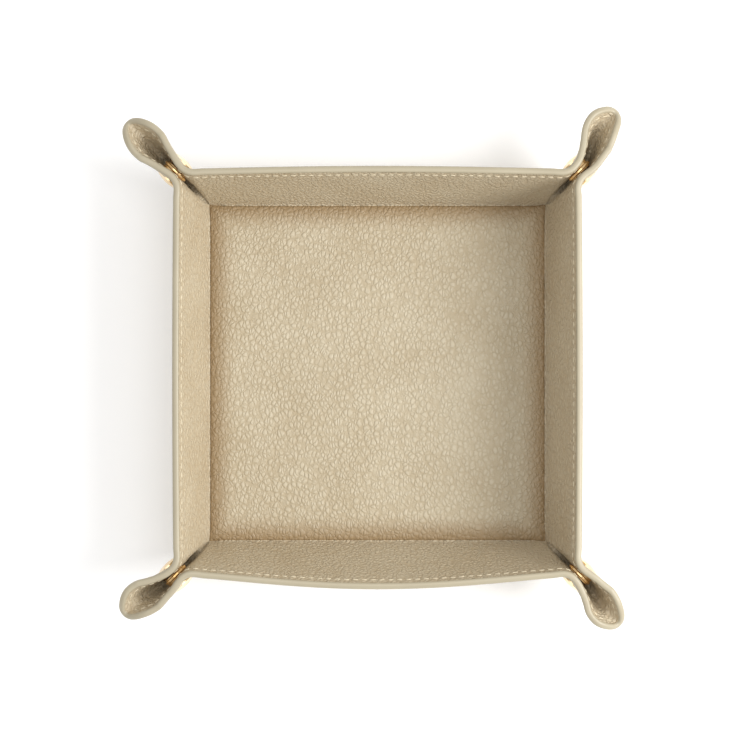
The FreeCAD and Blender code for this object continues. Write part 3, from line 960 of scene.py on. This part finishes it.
# %% Sections of the snap
BORE = 0.00205
SEAT = 0.00245  # where the metal lies on the leather
SOCKET_BODY = 0.0054
SOCKET_RING = 0.0060
RING_BACK = 0.0007
RING_FRONT = -0.0005
SOCKET_LIP = 0.0052
SOCKET_FACE = -0.0012
SOCKET_MOUTH = 0.0037
STUD_FLANGE = 0.0053
STUD_FACE = -0.00165
STUD_HEAD = 0.00295
STUD_END = 0.0010
SOCKET = (
    (BORE, SEAT), (SOCKET_BODY, SEAT), (SOCKET_BODY, RING_BACK), (SOCKET_RING, RING_BACK),
    (SOCKET_RING, RING_FRONT), (SOCKET_LIP, RING_FRONT), (SOCKET_LIP, SOCKET_FACE),
    (SOCKET_MOUTH, SOCKET_FACE),
)
STUD = (
    (BORE, -SEAT), (STUD_FLANGE, -SEAT), (STUD_FLANGE, STUD_FACE), (STUD_HEAD, STUD_FACE),
    (STUD_HEAD, STUD_END), (BORE, STUD_END),
)
print("points of the sections:", len(SOCKET), len(STUD))

# %% [markdown]
# Such parts come off a lathe, and spin is the lathe of a mesh. The section is a closed ring of points, spun
# a whole turn, and every sharp edge then gets a narrow round that catches the light. The socket sits on one
# side of the spout and the stud on the other, so they part when the corner opens.

# %% Turned metal
SPIN_STEPS = 72
SOCKET_BEVEL = 0.00025
STUD_BEVEL = 0.0002
BEVEL_STEPS = 4
BEVEL_FROM = math.radians(50.0)  # edges that turn more than this are bevelled
SAME_PLACE = 1e-7


def turn_metal(name, section, corner, bevel, material):
    middle = corner_to_world(Vector((SNAP_OUT, 0.0, SNAP_RISE)), corner, 1)
    axis = (corner_to_world(Vector((SNAP_OUT, 1.0, SNAP_RISE)), corner, 1) - middle).normalized()
    bm = bmesh.new()
    spots = [bm.verts.new(middle + axis * place + Vector((0.0, 0.0, radius))) for radius, place in section]
    for index, spot in enumerate(spots):
        bm.edges.new((spots[index - 1], spot))
    profile = bm.verts[:] + bm.edges[:]
    full = 2.0 * math.pi
    bmesh.ops.spin(bm, geom=profile, cent=middle, axis=axis, angle=full, steps=SPIN_STEPS, use_merge=True)
    bmesh.ops.remove_doubles(bm, verts=bm.verts[:], dist=SAME_PLACE)
    bmesh.ops.recalc_face_normals(bm, faces=bm.faces[:])
    sharp = [edge for edge in bm.edges if edge.is_manifold and edge.calc_face_angle() > BEVEL_FROM]
    bmesh.ops.bevel(
        bm, geom=sharp, offset=bevel, segments=BEVEL_STEPS, profile=0.5, affect="EDGES", material=-1
    )
    return to_object(bm, name, material)


for corner, place in enumerate(CORNERS):
    socket_skirt, stud_skirt = SKIRTS[2 * corner], SKIRTS[2 * corner + 1]
    socket = turn_metal("socket_ring_" + place, SOCKET, corner, SOCKET_BEVEL, GOLD)
    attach(socket, "spout_" + socket_skirt.name)
    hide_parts("snap_socket_" + place)
    # the stud takes the dark brass, a painted shadow of the gap
    stud = turn_metal("stud_flange_" + place, STUD, corner, STUD_BEVEL, STUD_PAINTED_SHADE)
    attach(stud, "spout_" + stud_skirt.name)
    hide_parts("snap_stud_" + place)

# %% [markdown]
# ## The parts that stay
#
# The caps, posts and springs are turned metal already, and the boards and the foam are plain slabs inside
# the leather. Their solids are right as they are, so they only take a material.

# %% Solid parts
# caps and posts take the paler gold, a painted highlight
FINISHES = {
    "snap_cap": LIT_GOLD, "snap_post": LIT_GOLD, "snap_spring": STEEL,
    "base_board": BOARD, "wall_board": BOARD, "base_pad": FOAM,
}

finished = []
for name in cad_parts:
    kind = "_".join(name.split("_")[:2])
    if kind in FINISHES:
        slots = bpy.data.objects[name].data.materials
        slots.clear()
        slots.append(FINISHES[kind])
        finished.append(name)
print("solids that stay:", len(finished))

# %% [markdown]
# ## Floor, light and camera
#
# The photograph looks straight down on a white table, with a large soft light from the right. A little
# emission keeps the table white right into the corners of the picture, and leaves the shadow on the left.

# %% The floor
FLOOR_HALF = 3.0
floor_mesh = bpy.data.meshes.new("floor")
bm = bmesh.new()
bmesh.ops.create_grid(bm, x_segments=1, y_segments=1, size=FLOOR_HALF)
bm.to_mesh(floor_mesh)
bm.free()
floor = bpy.data.objects.new("floor", floor_mesh)
bpy.context.scene.collection.objects.link(floor)
floor_mesh.materials.append(Paint("floor_white").set(
    Base_Color=colour(246, 246, 246), Roughness=0.9,
    Emission_Color=(1.0, 1.0, 1.0, 1.0), Emission_Strength=0.10,
))
print("floor:", 2.0 * FLOOR_HALF, "wide")

# %% [markdown]
# The lamp on the right draws the shadow and the shine of the rims. A wide, weak one overhead fills the well
# of the tray, and a grey sky fills the rest.

# %% Lamps and sky
LIT = Vector((0.0, 0.0, 0.02))  # the place that the lamps face


def lamp(name, place, size, power):
    data = bpy.data.lights.new(name, "AREA")
    data.shape = "DISK"
    data.size = size
    data.energy = power
    made = bpy.data.objects.new(name, data)
    made.location = place
    made.rotation_euler = (LIT - Vector(place)).to_track_quat("-Z", "Y").to_euler()
    bpy.context.scene.collection.objects.link(made)


lamp("key", place=(0.90, -0.10, 0.78), size=0.7, power=13.0)
lamp("top", place=(0.0, 0.1, 1.6), size=1.4, power=8.0)
world = bpy.data.worlds.new("studio")
world.use_nodes = True
sky = world.node_tree.nodes["Background"].inputs
sky["Color"].default_value = (1.0, 1.0, 1.0, 1.0)
sky["Strength"].default_value = 0.71
bpy.context.scene.world = world
bpy.context.scene.view_settings.view_transform = "Standard"
print("lamps:", len(bpy.data.lights))

# %% [markdown]
# The photograph was taken from high up with a long lens, because the four walls show nearly alike. A new
# camera already looks straight down, so it only needs its place and its lens.

# %% The camera
CAMERA_PLACE = (-0.0011, -0.0009, 1.05)  # a hair off the middle, as in the photograph
LENS = 111.1
SENSOR = 36.0

camera_data = bpy.data.cameras.new("camera")
camera_data.sensor_width = SENSOR
camera_data.lens = LENS
camera = bpy.data.objects.new("camera", camera_data)
camera.location = CAMERA_PLACE
bpy.context.scene.collection.objects.link(camera)
bpy.context.scene.camera = camera
print("camera height:", CAMERA_PLACE[2])
